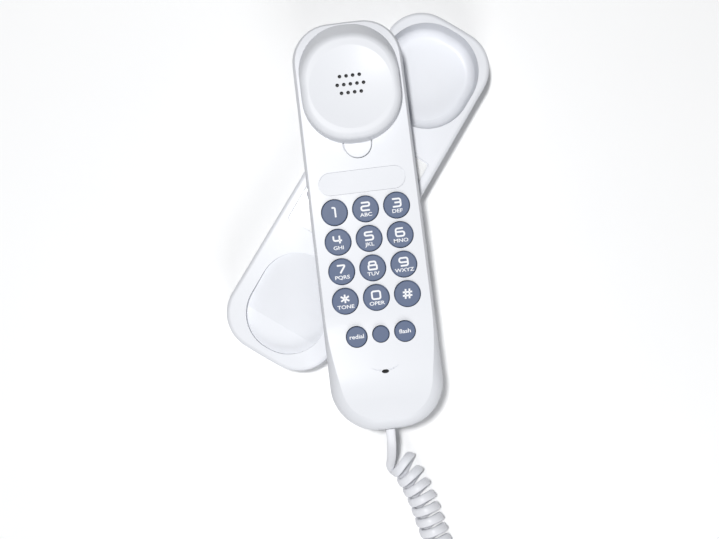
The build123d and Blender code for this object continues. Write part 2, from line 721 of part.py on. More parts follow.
def front_shell():
    shell = split(handset_form(0, DOME_TOP), Plane.XY.offset(SPLIT_HEIGHT), keep=Keep.TOP)
    shell -= handset_form(HANDSET_WALL, DOME_CEILING)
    shell += front_shell_supports()
    dish = (DISH_RADIUS**2 + DISH_DEPTH**2) / (2 * DISH_DEPTH)
    shell -= Pos(0, DOME_TOP_Y, DOME_TOP - DISH_DEPTH + dish) * Sphere(dish)
    for x, y in sound_hole_places():
        shell -= rod(x, y, DOME_CEILING - 1, DOME_TOP + 1, SOUND_HOLE_RADIUS)
    mouth_hole = Ellipse(MOUTH_HOLE_WIDTH / 2, MOUTH_HOLE_HEIGHT / 2)
    shell -= Pos(0, MOUTH_HOLE_Y, SPLIT_HEIGHT) * extrude(mouth_hole, FACE_HEIGHT)
    shell -= smile_groove()
    for x, y, radius in key_places().values():
        shell -= rod(x, y, HANDSET_CEILING - 1, FACE_HEIGHT + MOUTH_RISE, radius + KEY_GAP)
    hook_hole = extrude(hook_outline(0), HANDSET_WALL + 1 + RUN_GAP)
    shell -= Pos(0, 0, HANDSET_CEILING - 1) * hook_hole
    plate = SlotOverall(NAME_PLATE_LENGTH, NAME_PLATE_HEIGHT)
    shell -= Pos(0, NAME_PLATE_Y, FACE_HEIGHT - NAME_PLATE_THICK) * extrude(plate, NAME_PLATE_THICK + 1)
    for x, y in HANDSET_SCREWS:
        top = HANDSET_SCREW_SEAT + HANDSET_SCREW_LENGTH + SCREW_TIP_ROOM
        shell -= rod(x, y, SPLIT_HEIGHT - 1, top, HANDSET_SCREW_RADIUS + SCREW_GAP)
    for x, y in board_screw_places():
        top = BOARD_TOP + BOARD_SCREW_LENGTH + SCREW_TIP_ROOM
        shell -= rod(x, y, BOARD_TOP - 1, top, BOARD_SCREW_RADIUS + SCREW_GAP)
    return shell - handset_end_opening()


def handset_end_opening():
    """The notch in the end wall through which the cord's plug goes in."""
    half = SOCKET_WIDTH / 2 + FIT_GAP
    low = HANDSET_JACK_Z - SOCKET_HEIGHT / 2 - FIT_GAP
    high = HANDSET_JACK_Z + SOCKET_HEIGHT / 2 + FIT_GAP
    x_range = (HANDSET_JACK_X - half, HANDSET_JACK_X + half)
    return block(x_range, (-HANDSET_LENGTH, handset_jack_front() + 1), (low, high))


def handset_jack_front():
    return -(HANDSET_LENGTH / 2 - HANDSET_WALL - HANDSET_CROWN)


def knob_slot(side):
    """The slot in a side wall of the back shell in which a switch knob slides."""
    half = KNOB_LENGTH / 2 + KNOB_TRAVEL + RUN_GAP
    middle = knob_height()
    wall = half_width(SWITCH_Y)
    x_range = sorted((side * (wall - HANDSET_WALL - 1), side * (wall + 2)))
    z_range = (middle - KNOB_HEIGHT / 2 - RUN_GAP, middle + KNOB_HEIGHT / 2 + RUN_GAP)
    return block(x_range, (SWITCH_Y - half, SWITCH_Y + half), z_range)


def knob_height():
    return SWITCH_Z + SWITCH_HEIGHT / 2


def back_shell():
    outer = extrude(handset_outline(0), SPLIT_HEIGHT)
    outer = fillet(outer.edges().group_by(Axis.Z)[0], BACK_ROUND)
    cavity = Pos(0, 0, HANDSET_WALL) * extrude(handset_outline(HANDSET_WALL), SPLIT_HEIGHT)
    cavity = fillet(cavity.edges().group_by(Axis.Z)[0], BACK_ROUND - HANDSET_WALL)
    for x, y in HANDSET_SCREWS:
        cavity -= rod(x, y, 0, 2 * SPLIT_HEIGHT, HANDSET_POST_RADIUS)
    shell = outer - cavity
    for x, y in HANDSET_SCREWS:
        shell -= rod(x, y, -1, SPLIT_HEIGHT + 1, HANDSET_SCREW_RADIUS + SCREW_GAP)
        shell -= rod(x, y, -1, HANDSET_SCREW_SEAT, HANDSET_SCREW_HEAD + SCREW_GAP)
    slot = extrude(SlotOverall(RINGER_SLOT_LENGTH, RINGER_SLOT_WIDTH), HANDSET_WALL + 2)
    for index in range(RINGER_SLOTS):
        y = RINGER_Y + (index - (RINGER_SLOTS - 1) / 2) * RINGER_SLOT_PITCH
        shell -= Pos(0, y, -1) * slot
    for side in (-1, 1):
        shell -= knob_slot(side)
    return shell - handset_end_opening()


def name_plate():
    width = NAME_PLATE_HEIGHT - 2 * NAME_PLATE_GAP
    plate = SlotOverall(NAME_PLATE_LENGTH - 2 * NAME_PLATE_GAP, width)
    return Pos(0, NAME_PLATE_Y, FACE_HEIGHT - NAME_PLATE_THICK) * extrude(plate, NAME_PLATE_THICK)


def receiver_gasket():
    ring = Circle(RECEIVER_RADIUS) - Circle(GASKET_BORE)
    return Pos(0, SOUND_CENTRE_Y, RECEIVER_TOP) * extrude(ring, GASKET_THICK)


def receiver_capsule():
    bottom = RECEIVER_TOP - RECEIVER_HEIGHT
    capsule = rod(0, SOUND_CENTRE_Y, bottom, RECEIVER_TOP, RECEIVER_RADIUS)
    capsule = fillet(capsule.edges().group_by(Axis.Z)[0], CAPSULE_EDGE)
    magnet = rod(0, SOUND_CENTRE_Y, bottom - MAGNET_HEIGHT, bottom, RECEIVER_RADIUS / 2)
    return capsule + magnet


def microphone_capsule():
    return rod(0, MOUTH_HOLE_Y, mic_top() - MIC_HEIGHT, mic_top() - FELT_THICK, MIC_RADIUS)


def microphone_felt():
    """The black disc that keeps dust out of the capsule, seen through the mouth hole."""
    return rod(0, MOUTH_HOLE_Y, mic_top() - FELT_THICK, mic_top(), MIC_RADIUS)


def microphone_boot():
    bottom = mic_top() - MIC_HEIGHT - BOOT_FLOOR
    boot = rod(0, MOUTH_HOLE_Y, bottom, mic_top(), MIC_RADIUS + BOOT_WALL)
    return boot - rod(0, MOUTH_HOLE_Y, mic_top() - MIC_HEIGHT, mic_top() + 1, MIC_RADIUS)


def keypad_mat():
    half = MAT_WIDTH / 2
    mat = block((-half, half), (MAT_FOOT_Y, MAT_TOP_Y), (BOARD_TOP, MAT_TOP))
    for x, y, _ in key_places().values():
        mat += Pos(x, y, (MAT_TOP + NUB_TOP) / 2) * Cone(NUB_RADIUS, NUB_TOP_RADIUS, NUB_TOP - MAT_TOP)
    return mat


def main_board():
    length = BOARD_TOP_Y - BOARD_FOOT_Y
    outline = RectangleRounded(BOARD_WIDTH, length, BOARD_CORNER)
    board = Pos(0, (BOARD_TOP_Y + BOARD_FOOT_Y) / 2, BOARD_BOTTOM) * extrude(outline, BOARD_THICK)
    for x, y in board_screw_places():
        board -= rod(x, y, BOARD_BOTTOM - 1, BOARD_TOP + 1, BOARD_SCREW_RADIUS + SCREW_GAP)
    return board


def board_components():
    """The taller parts on the board's back: two chips, a row of capacitors and a relay."""
    pieces = []
    for x, y, width, length, height in BOARD_CHIPS:
        x_range = (x - width / 2, x + width / 2)
        pieces.append(block(x_range, (y - length / 2, y + length / 2), (BOARD_BOTTOM - height, BOARD_BOTTOM)))
    for index in range(CAPACITORS):
        y = CAPACITOR_Y + index * CAPACITOR_PITCH
        bottom = BOARD_BOTTOM - CAPACITOR_HEIGHT
        pieces.append(rod(CAPACITOR_X, y, bottom, BOARD_BOTTOM, CAPACITOR_RADIUS))
    return pieces


def board_screws():
    screws = []
    for x, y in board_screw_places():
        head = rod(x, y, BOARD_BOTTOM - BOARD_SCREW_HEAD_THICK, BOARD_BOTTOM, BOARD_SCREW_HEAD)
        screws.append(head + rod(x, y, BOARD_BOTTOM, BOARD_TOP + BOARD_SCREW_LENGTH, BOARD_SCREW_RADIUS))
    return screws


def hook_switch():
    """A low switch on the board, its plunger just under the pressed hook button."""
    y = HOOK_Y - HOOK_SWITCH_DROP
    half = HOOK_SWITCH_LENGTH / 2
    plunger_top = KEY_BOTTOM - HOOK_TRAVEL - RUN_GAP
    body_top = (BOARD_TOP + plunger_top) / 2
    x_range = (-HOOK_SWITCH_WIDTH / 2, HOOK_SWITCH_WIDTH / 2)
    body = block(x_range, (y - half, y + half), (BOARD_TOP, body_top))
    return body + rod(0, y, body_top, plunger_top, HOOK_PLUNGER_RADIUS)


def ringer_sounder():
    disc = rod(0, RINGER_Y, HANDSET_WALL, HANDSET_WALL + RINGER_THICK, RINGER_RADIUS)
    return fillet(disc.edges().group_by(Axis.Z)[-1], RINGER_EDGE)


def switch_body(side):
    outer = half_width(SWITCH_Y) - HANDSET_WALL - RUN_GAP
    x_range = sorted((side * (outer - SWITCH_DEPTH), side * outer))
    half = SWITCH_LENGTH / 2
    return block(x_range, (SWITCH_Y - half, SWITCH_Y + half), (SWITCH_Z, SWITCH_Z + SWITCH_HEIGHT))


def switch_knob(side):
    wall = half_width(SWITCH_Y)
    x_range = sorted((side * (wall - HANDSET_WALL), side * (wall + KNOB_PROUD)))
    half = KNOB_LENGTH / 2
    middle = knob_height()
    z_range = (middle - KNOB_HEIGHT / 2, middle + KNOB_HEIGHT / 2)
    return block(x_range, (SWITCH_Y - half, SWITCH_Y + half), z_range)


def handset_jack_place():
    return Pos(HANDSET_JACK_X, handset_jack_front(), HANDSET_JACK_Z - HANDSET_JACK_HEIGHT / 2)


def handset_plug():
    """The cord's plug seated in the handset's jack, its rear face just outside the end wall."""
    rear = -HANDSET_LENGTH / 2 - PLUG_PROUD
    half_w = PLUG_WIDTH / 2
    half_h = PLUG_HEIGHT / 2
    x_range = (HANDSET_JACK_X - half_w, HANDSET_JACK_X + half_w)
    z_range = (HANDSET_JACK_Z - half_h, HANDSET_JACK_Z + half_h)
    return block(x_range, (rear, rear + PLUG_LENGTH), z_range)


def handset_screws():
    screws = []
    seat = HANDSET_SCREW_SEAT
    for x, y in HANDSET_SCREWS:
        head = rod(x, y, seat - HANDSET_SCREW_HEAD_THICK, seat, HANDSET_SCREW_HEAD)
        screws.append(head + rod(x, y, seat, seat + HANDSET_SCREW_LENGTH, HANDSET_SCREW_RADIUS))
    return screws


def lead_pair(start, end, middle_height):
    """Two thin leads side by side from one place to another, past a middle height."""
    leads = []
    for offset in (-LEAD_SPREAD / 2, LEAD_SPREAD / 2):
        first = (start[0] + offset, start[1], start[2])
        last = (end[0] + offset, end[1], end[2])
        middle = (first[0] + LEAD_BULGE, (first[1] + last[1]) / 2, middle_height)
        path = FilletPolyline(first, middle, last, radius=LEAD_BEND)
        section = Plane(origin=path @ 0, z_dir=path % 0) * Circle(LEAD_RADIUS)
        leads.append(sweep(section, path=path))
    return leads


def receiver_leads():
    top = RECEIVER_TOP - RECEIVER_HEIGHT - MAGNET_HEIGHT - LEAD_RADIUS
    start = (RECEIVER_LEAD_X, SOUND_CENTRE_Y - LEAD_LANDING, top)
    end = (RECEIVER_LEAD_X, BOARD_TOP_Y - LEAD_LANDING, BOARD_BOTTOM - SOLDER_HEIGHT)
    return lead_pair(start, end, BOARD_BOTTOM - 2 * SOLDER_HEIGHT)


def microphone_leads():
    bottom = mic_top() - MIC_HEIGHT - BOOT_FLOOR - LEAD_RADIUS
    end = (0, BOARD_FOOT_Y + LEAD_LANDING, BOARD_BOTTOM - SOLDER_HEIGHT)
    return lead_pair((0, MOUTH_HOLE_Y, bottom), end, BOARD_BOTTOM - 2 * SOLDER_HEIGHT)


def ringer_leads():
    top = HANDSET_WALL + RINGER_THICK + LEAD_RADIUS
    solder = BOARD_BOTTOM - SOLDER_HEIGHT
    end = (0, RINGER_Y - RINGER_LEAD_RUN, solder)
    return lead_pair((0, RINGER_Y + LEAD_LANDING, top), end, (top + solder) / 2)


# ====================================================================== cord
def plug_at_free_end():
    """The modular plug on the cord's free end, in line with the last run of its tail."""
    end = Vector(*PLUG_TAIL_POINTS[-1])
    run = end - Vector(*PLUG_TAIL_POINTS[-2])
    heading = Plane(origin=end, x_dir=run.cross(Vector(0, 0, 1)), z_dir=(0, 0, 1))
    half_w = PLUG_WIDTH / 2
    low = -end.Z - FOOT_PROUD + FIT_GAP
    return heading * block((-half_w, half_w), (0, PLUG_LENGTH), (low, low + PLUG_HEIGHT))


# ====================================================================== every node
def base_nodes():
    handset_side, line_side = base_jacks()
    return {
        "base_cradle_shell": cradle_shell(),
        "base_back_cover": back_cover(),
        "base_feet": feet(),
        "base_screws": base_screws(),
        "base_ballast_plate": ballast_plate(),
        "base_index_card": index_card(),
        "base_card_window": card_window(),
        "base_handset_jack": handset_side,
        "base_line_jack": line_side,
        "base_jack_contacts": base_jack_contacts(),
        "base_jumper_leads": jumper_leads(),
    }


def handset_nodes():
    jack = handset_jack_place()
    nodes = {
        "handset_front_shell": front_shell(),
        "handset_back_shell": back_shell(),
        "handset_name_plate": name_plate(),
        "handset_screws": handset_screws(),
        "receiver_capsule": receiver_capsule(),
        "receiver_gasket": receiver_gasket(),
        "receiver_leads": receiver_leads(),
        "microphone_capsule": microphone_capsule(),
        "microphone_felt": microphone_felt(),
        "microphone_boot": microphone_boot(),
        "microphone_leads": microphone_leads(),
        "keypad_mat": keypad_mat(),
        "main_board": main_board(),
        "board_components": board_components(),
        "board_screws": board_screws(),
        "hook_switch": hook_switch(),
        "hook_button": hook_button(),
        "ringer_sounder": ringer_sounder(),
        "ringer_leads": ringer_leads(),
        "ringer_switch_body": switch_body(1),
        "ringer_switch_knob": switch_knob(1),
        "tone_switch_body": switch_body(-1),
        "tone_switch_knob": switch_knob(-1),
        "handset_jack": jack * modular_jack(HANDSET_JACK_HEIGHT),
        "handset_jack_contacts": [jack * wire for wire in jack_contacts(HANDSET_JACK_HEIGHT)],
        "cord_plug_handset_end": handset_plug(),
    }
    for name, (x, y, radius) in key_places().items():
        nodes[name] = key_cap(x, y, radius)
    return nodes


def cord_nodes():
    return {
        "cord_tail_handset_end": tube(HANDSET_TAIL_POINTS, CORD_DIAMETER, "handset tail"),
        "cord_curl": tube(CURL_POINTS, CURL_DIAMETER, "curl"),
        "cord_tail_base_end": tube(PLUG_TAIL_POINTS, CORD_DIAMETER, "plug tail"),
        "cord_plug_base_end": plug_at_free_end(),
    }


def write_node(name, solids, place):
    """One STEP file for a node. A list of solids is one node of separate solids."""
    pieces = solids if isinstance(solids, list) else [solids]
    moved = [place * piece for piece in pieces]
    shape = moved[0] if len(moved) == 1 else Compound(children=moved)
    shape.label = name
    export_step(shape, "parts/" + name + ".step")


os.makedirs("parts", exist_ok=True)
for group, place in (
    (base_nodes(), Location()),
    (handset_nodes(), HANDSET_LOCATION),
    (cord_nodes(), Location()),
):
    for name, solids in group.items():
        write_node(name, solids, place)
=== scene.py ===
import bpy
import json
from math import atan2, cos, exp, pi, radians, sin
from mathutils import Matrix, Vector


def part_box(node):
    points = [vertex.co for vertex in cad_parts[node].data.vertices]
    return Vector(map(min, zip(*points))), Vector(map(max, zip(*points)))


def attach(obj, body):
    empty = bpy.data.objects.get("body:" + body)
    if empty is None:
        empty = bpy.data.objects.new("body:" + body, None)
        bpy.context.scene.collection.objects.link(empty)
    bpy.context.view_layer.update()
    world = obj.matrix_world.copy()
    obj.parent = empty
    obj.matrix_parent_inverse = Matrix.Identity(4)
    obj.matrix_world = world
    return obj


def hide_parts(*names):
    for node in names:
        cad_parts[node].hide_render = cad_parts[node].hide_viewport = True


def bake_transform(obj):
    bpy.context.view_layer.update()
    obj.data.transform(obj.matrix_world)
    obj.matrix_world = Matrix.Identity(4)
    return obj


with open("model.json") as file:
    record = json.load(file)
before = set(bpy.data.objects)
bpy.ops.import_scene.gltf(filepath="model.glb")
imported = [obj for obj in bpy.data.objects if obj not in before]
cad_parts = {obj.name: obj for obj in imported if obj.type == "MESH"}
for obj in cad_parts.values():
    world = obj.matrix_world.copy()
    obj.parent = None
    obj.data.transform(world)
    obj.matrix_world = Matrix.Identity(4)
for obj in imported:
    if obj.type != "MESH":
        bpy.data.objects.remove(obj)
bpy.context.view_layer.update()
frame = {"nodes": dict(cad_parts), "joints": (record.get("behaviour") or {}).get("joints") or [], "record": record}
NODES = frame["nodes"]
JOINTS = {joint["name"]: joint for joint in frame["joints"]}
MM = 0.001

# ---------------------------------------------------------------------- camera
CAMERA_HEIGHT = 0.700
CAMERA_PLACE = (0.0214, -0.0360)
CAMERA_ROLL = radians(30.4)
CAMERA_LENS = 63.3
CAMERA_REACH = 20

# ---------------------------------------------------------------------- floor and light
FLOOR_SIZE = 4
FLOOR_COLOUR = (0.93, 0.935, 0.945, 1)
FLOOR_TONES = ((0.925, 0.93, 0.94, 1), (0.94, 0.943, 0.95, 1))
FLOOR_ROUGHNESS = 0.7
WORLD_COLOUR = (0.88, 0.93, 1, 1)
WORLD_STRENGTH = 0.06
KEY_LIGHT_PLACE = (-0.172, 0.014, 1.5)
KEY_LIGHT_SIZE = 0.11
KEY_LIGHT_POWER = 18.6
KEY_LIGHT_COLOUR = (1, 0.998, 0.99)
LOW_LIGHT_PLACE = (0.56, -0.64, 0.62)
LOW_LIGHT_SIZE = 0.5
LOW_LIGHT_POWER = 3.8

# ---------------------------------------------------------------------- cord
CORD_WIDTH = 4.8 * MM
CORD_THICK = 2.8 * MM
CURL_DIAMETER = 15.5 * MM
CURL_PITCH = 5.8 * MM
FIRST_PITCH = 6.8 * MM  # the first turns are pulled a little open
PITCH_FADE = 30 * MM
FIRST_LEAN = 4.3 * MM  # how far the first turn's far side leans back toward the tail
LAST_LEAN = 1.0 * MM
LEAN_FADE = 12 * MM
TURN_POINTS = 28  # points on each turn of the curl
SECTION_POINTS = 14
SECTION_WIDE_POWER = 0.6  # below 1, the oval section is squarer
SECTION_THICK_POWER = 0.8
FOLD_START = 0.62  # where along the handset tail the cord begins to turn edge-on
HANDSET_TAIL_POINTS = (
    (0.0775, -0.0997, 0.0375),
    (0.0814, -0.1048, 0.0366),
    (0.0852, -0.1109, 0.0302),
    (0.0878, -0.1154, 0.0208),
    (0.0898, -0.1196, 0.0100),
    (0.0930, -0.1229, 0.0028),
    (0.0942, -0.1223, 0.0068),
)
CURL_POINTS = (
    (0.0970, -0.1166, 0.0073),
    (0.1111, -0.1237, 0.0071),
    (0.1254, -0.1362, 0.0068),
    (0.1419, -0.1495, 0.0068),
    (0.1530, -0.1720, 0.0068),
    (0.1523, -0.1980, 0.0068),
    (0.1395, -0.2206, 0.0068),
    (0.1175, -0.2347, 0.0068),
    (0.0918, -0.2380, 0.0068),
    (0.0690, -0.2440, 0.0068),
    (0.0465, -0.2400, 0.0068),
)
PLUG_TAIL_POINTS = (
    (0.0465, -0.2400, 0.0017),
    (0.0460, -0.2335, 0.0015),
    (0.0405, -0.2275, 0.0015),
    (0.0320, -0.2260, 0.0015),
    (0.0245, -0.2295, 0.0015),
    (0.0205, -0.2370, 0.0017),
    (0.0225, -0.2455, 0.0023),
)

# ---------------------------------------------------------------------- surfaces: scales in cycles per metre, depths in metres
NOISE_LOW = 0.3
NOISE_HIGH = 0.7
TINT_LOW = 0.35
TINT_HIGH = 0.65
MOTTLE_SCALE = 28
GRAIN_SCALE = 2600
GRAIN_STRENGTH = 0.05
GRAIN_DEPTH = 0.00004
FINE_DEPTH = 0.00005
COAT_ROUGHNESS = 0.2
PLASTIC_SPECULAR = 0.28
ACRYLIC_IOR = 1.49

# ---------------------------------------------------------------------- colours, linear
WHITE_SHELL = (0.715, 0.73, 0.77, 1)
KEY_BLUE = (0.105, 0.14, 0.235, 1)
LEGEND_WHITE = (0.86, 0.87, 0.9, 1)
CORD_WHITE = (0.74, 0.75, 0.79, 1)


# ====================================================================== small helpers
def link(name, data, material=None):
    piece = bpy.data.objects.new(name, data)
    bpy.context.scene.collection.objects.link(piece)
    if material:
        data.materials.append(material)
    return piece


def middle(node):
    low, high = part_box(node)
    return (Vector(low) + Vector(high)) / 2


def mesh_piece(name, points, faces, material, smooth=True):
    mesh = bpy.data.meshes.new(name)
    mesh.from_pydata([tuple(point) for point in points], [], faces)
    mesh.update()
    if smooth:
        mesh.polygons.foreach_set("use_smooth", [True] * len(mesh.polygons))
    return link(name, mesh, material)


# ====================================================================== camera, floor and light
def make_camera():
    camera = bpy.data.cameras.new("camera")
    camera.lens = CAMERA_LENS
    camera.clip_end = CAMERA_REACH
    holder = link("camera", camera)
    holder.location = (*CAMERA_PLACE, CAMERA_HEIGHT)
    holder.rotation_euler = (0, 0, CAMERA_ROLL)
    bpy.context.scene.camera = holder


def floor_material():
    """Matte studio paper: nearly white, with a trace of tone."""
    material, shader, nodes, links = new_material("pale_floor", FLOOR_COLOUR, FLOOR_ROUGHNESS)
    broad = noise(nodes, links, 6, 3)
    links.new(
        tint(nodes, links, broad.outputs["Fac"], *FLOOR_TONES),
        shader.inputs["Base Color"],
    )
    return material


def make_floor():
    low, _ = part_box("base_feet")
    corners = ((-1, -1), (1, -1), (1, 1), (-1, 1))
    floor = mesh_piece(
        "floor",
        [(x * FLOOR_SIZE, y * FLOOR_SIZE, low.z) for x, y in corners],
        [(0, 1, 2, 3)],
        floor_material(),
        smooth=False,
    )


def area_light(name, place, target, size, power, colour=(1, 1, 1)):
    light = bpy.data.lights.new(name, "AREA")
    light.size = size
    light.energy = power
    light.color = colour
    holder = link(name, light)
    holder.location = place
    aim = Vector(target) - Vector(place)
    holder.rotation_euler = aim.to_track_quat("-Z", "Y").to_euler()


def make_lights():
    """A small near-overhead light from the image's upper left, a broad low one from its lower right."""
    world = bpy.data.worlds.new("studio")
    bpy.context.scene.world = world
    world.use_nodes = True
    background = world.node_tree.nodes["Background"]
    background.inputs["Color"].default_value = WORLD_COLOUR
    background.inputs["Strength"].default_value = WORLD_STRENGTH
    target = (*CAMERA_PLACE, 0)
    area_light("key_light", KEY_LIGHT_PLACE, target, KEY_LIGHT_SIZE, KEY_LIGHT_POWER, KEY_LIGHT_COLOUR)
    area_light("low_light", LOW_LIGHT_PLACE, target, LOW_LIGHT_SIZE, LOW_LIGHT_POWER)
    bpy.context.scene.view_settings.view_transform = "Standard"


# ====================================================================== materials
def new_material(name, colour, roughness):
    material = bpy.data.materials.new(name)
    material.use_nodes = True
    nodes = material.node_tree.nodes
    shader = nodes["Principled BSDF"]
    shader.inputs["Base Color"].default_value = colour
    shader.inputs["Roughness"].default_value = roughness
    return material, shader, nodes, material.node_tree.links


def noise(nodes, links, scale, detail=4.0):
    """A noise texture in object space, in cycles per metre."""
    place = nodes.new("ShaderNodeTexCoord")
    texture = nodes.new("ShaderNodeTexNoise")
    texture.inputs["Scale"].default_value = scale
    texture.inputs["Detail"].default_value = detail
    links.new(place.outputs["Object"], texture.inputs["Vector"])
    return texture


def remap(nodes, links, source, low, high):
    node = nodes.new("ShaderNodeMapRange")
    node.inputs["From Min"].default_value = NOISE_LOW
    node.inputs["From Max"].default_value = NOISE_HIGH
    node.inputs["To Min"].default_value = low
    node.inputs["To Max"].default_value = high
    links.new(source, node.inputs["Value"])
    return node.outputs["Result"]


def tint(nodes, links, source, dark, light):
    node = nodes.new("ShaderNodeValToRGB")
    node.color_ramp.elements[0].position = TINT_LOW
    node.color_ramp.elements[1].position = TINT_HIGH
    node.color_ramp.elements[0].color = dark
    node.color_ramp.elements[1].color = light
    links.new(source, node.inputs["Fac"])
    return node.outputs["Color"]


def bump(nodes, links, source, shader, strength, distance):
    node = nodes.new("ShaderNodeBump")
    node.inputs["Strength"].default_value = strength
    node.inputs["Distance"].default_value = distance
    links.new(source, node.inputs["Height"])
    links.new(node.outputs["Normal"], shader.inputs["Normal"])


def shade(colour, factor):
    return tuple(channel * factor for channel in colour[:3]) + (1,)


def moulded_plastic(name, colour, low_rough, high_rough, grain=0.0, coat=0.0):
    """Injection-moulded plastic: faint mottling, uneven gloss and a fine moulding texture."""
    material, shader, nodes, links = new_material(name, colour, low_rough)
    broad = noise(nodes, links, MOTTLE_SCALE, 5)
    fine = noise(nodes, links, GRAIN_SCALE, 3)
    links.new(
        tint(nodes, links, broad.outputs["Fac"], shade(colour, 0.975), shade(colour, 1.015)),
        shader.inputs["Base Color"],
    )
    gloss = remap(nodes, links, broad.outputs["Fac"], low_rough, high_rough)
    links.new(gloss, shader.inputs["Roughness"])
    bump(nodes, links, fine.outputs["Fac"], shader, GRAIN_STRENGTH + grain, GRAIN_DEPTH)
    shader.inputs["Coat Weight"].default_value = coat
    shader.inputs["Coat Roughness"].default_value = COAT_ROUGHNESS
    shader.inputs["Specular IOR Level"].default_value = PLASTIC_SPECULAR
    return material


def rubber(name, colour):
    material, shader, nodes, links = new_material(name, colour, 0.75)
    fine = noise(nodes, links, 1400, 6)
    links.new(
        tint(nodes, links, fine.outputs["Fac"], shade(colour, 0.8), shade(colour, 1.15)),
        shader.inputs["Base Color"],
    )
    bump(nodes, links, fine.outputs["Fac"], shader, 0.35, 0.0001)
    return material


def metal(name, colour, roughness):
    material, shader, nodes, links = new_material(name, colour, roughness)
    shader.inputs["Metallic"].default_value = 1
    streaks = noise(nodes, links, 900, 8)
    links.new(
        remap(nodes, links, streaks.outputs["Fac"], roughness * 0.8, roughness * 1.3),
        shader.inputs["Roughness"],
    )
    bump(nodes, links, streaks.outputs["Fac"], shader, 0.12, FINE_DEPTH)
    return material


def clear_plastic(name, alpha, roughness=0.06):
    """Thin clear plastic: seen through, with faint handling marks in its gloss."""
    material, shader, nodes, links = new_material(name, (0.9, 0.92, 0.96, 1), roughness)
    shader.inputs["Alpha"].default_value = alpha
    shader.inputs["IOR"].default_value = ACRYLIC_IOR
    marks = noise(nodes, links, 60, 5)
    links.new(
        remap(nodes, links, marks.outputs["Fac"], roughness * 0.6, roughness * 1.6),
        shader.inputs["Roughness"],
    )
    return material


def paper(name):
    material, shader, nodes, links = new_material(name, (0.85, 0.855, 0.85, 1), 0.8)
    fibres = noise(nodes, links, 1800, 8)
    links.new(
        tint(nodes, links, fibres.outputs["Fac"], (0.8, 0.8, 0.79, 1), (0.88, 0.885, 0.88, 1)),
        shader.inputs["Base Color"],
    )
    bump(nodes, links, fibres.outputs["Fac"], shader, 0.2, FINE_DEPTH)
    return material


def circuit_board(name):
    material, shader, nodes, links = new_material(name, (0.02, 0.16, 0.06, 1), 0.35)
    weave = noise(nodes, links, 700, 3)
    links.new(
        tint(nodes, links, weave.outputs["Fac"], (0.012, 0.11, 0.04, 1), (0.03, 0.2, 0.08, 1)),
        shader.inputs["Base Color"],
    )
    bump(nodes, links, weave.outputs["Fac"], shader, 0.1, FINE_DEPTH)
    return material


MATERIALS = {
    "white_shell": moulded_plastic("white_shell", WHITE_SHELL, 0.42, 0.5, coat=0.04),
    "white_button": moulded_plastic("white_button", WHITE_SHELL, 0.4, 0.48, coat=0.04),
    "white_plate": moulded_plastic("white_plate", WHITE_SHELL, 0.42, 0.5),
    "key_blue": moulded_plastic("key_blue", KEY_BLUE, 0.48, 0.56, grain=0.12),
    "knob_blue": moulded_plastic("knob_blue", KEY_BLUE, 0.48, 0.56, grain=0.12),
    "legend_white": moulded_plastic("legend_white", LEGEND_WHITE, 0.5, 0.6),
    "cord_white": moulded_plastic("cord_white", CORD_WHITE, 0.34, 0.44, grain=0.05),
    "jack_plastic": moulded_plastic("jack_plastic", (0.6, 0.61, 0.63, 1), 0.5, 0.6, grain=0.1),
    "lead_insulation": moulded_plastic("lead_insulation", (0.45, 0.02, 0.015, 1), 0.4, 0.5),
    "capsule_dark": moulded_plastic("capsule_dark", (0.012, 0.012, 0.014, 1), 0.45, 0.55, grain=0.1),
    "component_black": moulded_plastic(
        "component_black", (0.012, 0.012, 0.013, 1), 0.5, 0.65, grain=0.2
    ),
    "switch_black": moulded_plastic("switch_black", (0.015, 0.015, 0.016, 1), 0.45, 0.55, grain=0.1),
    "rubber_foot": rubber("rubber_foot", (0.02, 0.02, 0.022, 1)),
    "foam_gasket": rubber("foam_gasket", (0.06, 0.06, 0.065, 1)),
    # The felt pad under the mouthpiece hole is near black, darker than real felt. It is partly the felt's own
    # colour and partly painted shade for the shade inside the hole.
    "felt_black": rubber("felt_black", (0.004, 0.004, 0.004, 1)),
    "mic_boot_rubber": rubber("mic_boot_rubber", (0.012, 0.012, 0.012, 1)),
    "mat_rubber": rubber("mat_rubber", (0.5, 0.5, 0.51, 1)),
    "screw_steel": metal("screw_steel", (0.55, 0.56, 0.58, 1), 0.3),
    "ballast_steel": metal("ballast_steel", (0.3, 0.3, 0.32, 1), 0.45),
    "capsule_metal": metal("capsule_metal", (0.7, 0.71, 0.73, 1), 0.3),
    "contact_gold": metal("contact_gold", (0.85, 0.6, 0.2, 1), 0.2),
    "clear_window": clear_plastic("clear_window", 0.1),
    "clear_plug": clear_plastic("clear_plug", 0.5, 0.1),
    "card_paper": paper("card_paper"),
    "board_green": circuit_board("board_green"),
}


def dress_cad_nodes():
    """Every CAD node shows with the material of its own slot in the record."""
    slots = {row["node"]: row["material_slot"] for row in frame["record"]["subparts"]}
    for name, piece in NODES.items():
        piece.data.materials.clear()
        piece.data.materials.append(MATERIALS[slots[name]])


# ====================================================================== cord
def spline_points(name, points):
    """Points along a smooth NURBS spline with the given control points."""
    data = bpy.data.curves.new(name, "CURVE")
    data.dimensions = "3D"
    data.resolution_u = 24
    spline = data.splines.new("NURBS")
    spline.points.add(len(points) - 1)
    for target, point in zip(spline.points, points):
        target.co = (*point, 1)
    spline.order_u = 3
    spline.use_endpoint_u = True
    holder = link(name, data)
    mesh = bpy.data.meshes.new_from_object(holder)
    result = [vertex.co.copy() for vertex in mesh.vertices]
    bpy.data.objects.remove(holder)
    bpy.data.meshes.remove(mesh)
    return result


